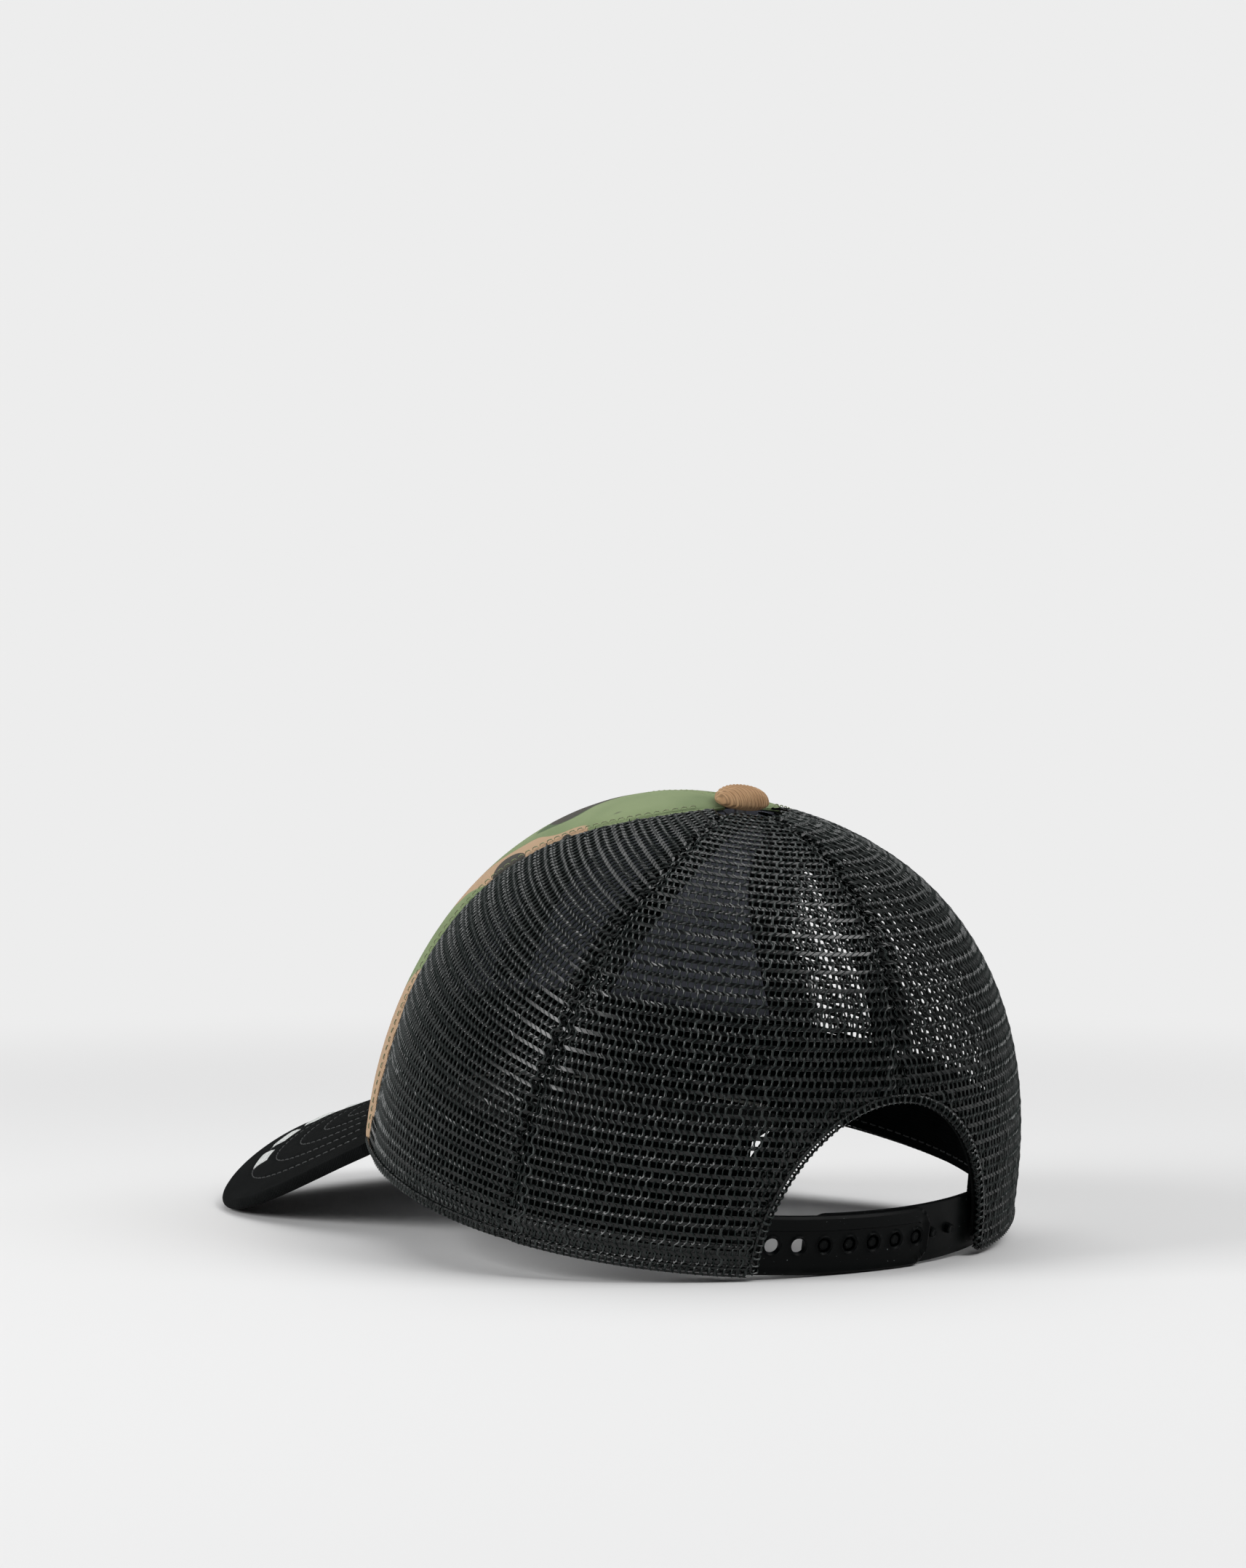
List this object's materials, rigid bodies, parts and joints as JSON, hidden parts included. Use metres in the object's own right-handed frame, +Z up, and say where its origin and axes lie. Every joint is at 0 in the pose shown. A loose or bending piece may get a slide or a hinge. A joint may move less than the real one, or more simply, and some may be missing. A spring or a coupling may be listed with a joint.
{
  "type": "trucker mesh cap",
  "caption": "Curved-visor cap with structured fabric front, open mesh sides and rear, top button and adjustable snap strap over a rear arch.",
  "frame": {"origin": "middle of the cap's box at the surface it rests on", "axes": "+Z up as the cap rests on its visor's corners and rear strap; the visor points to -Y; the wearer's left is +X"},
  "size_m": [0.1786, 0.2474, 0.1251],
  "materials": {
    "camo_twill": "woodland camouflage cotton twill, matte",
    "grey_lining": "blue-grey woven backing, matte",
    "black_mesh": "black warp-knit polyester net, soft sheen",
    "seam_tape": "black woven seam tape, matte",
    "sweatband_cloth": "black cotton twill sweatband, matte",
    "visor_twill": "black cotton twill, matte, with rows of stitching",
    "visor_board": "moulded polyethylene visor board",
    "strap_plastic": "moulded black polyethylene, satin",
    "button_twill": "tan brown twill stretched over the button",
    "button_steel": "pressed steel"
  },
  "bodies": {
    "crown": {"front_panel_left": "camo_twill", "front_panel_right": "camo_twill", "front_lining_left": "grey_lining", "front_lining_right": "grey_lining", "side_mesh_left": "black_mesh", "side_mesh_right": "black_mesh", "rear_mesh_left": "black_mesh", "rear_mesh_right": "black_mesh", "front_centre_tape": "seam_tape", "front_seam_tape_left": "seam_tape", "front_seam_tape_right": "seam_tape", "side_seam_tape_left": "seam_tape", "side_seam_tape_right": "seam_tape", "rear_seam_tape": "seam_tape", "sweatband": "sweatband_cloth", "arch_binding": "seam_tape", "visor_top_cover": "visor_twill", "visor_board": "visor_board", "visor_under_cover": "visor_twill", "hole_strap_tab": "strap_plastic", "peg_strap_tab": "strap_plastic", "button_cover": "button_twill", "button_core": "button_steel", "button_back": "button_steel"},
    "hole_strap": {"hole_strap": "strap_plastic"},
    "peg_strap": {"peg_strap": "strap_plastic"}
  },
  "joints": [
    {"name": "hole_strap_swing", "type": "hinge", "parent": "crown", "child": "hole_strap", "pos_m": [0.03605, 0.11074, 0.00893], "axis": [0, -0.1874, -0.9823], "range_deg": [0, 48], "stiffness_Nm_per_rad": 0.004},
    {"name": "peg_strap_swing", "type": "hinge", "parent": "crown", "child": "peg_strap", "pos_m": [-0.03499, 0.10798, 0.00946], "axis": [0, -0.1874, -0.9823], "range_deg": [0, 35], "stiffness_Nm_per_rad": 0.004}
  ]
}
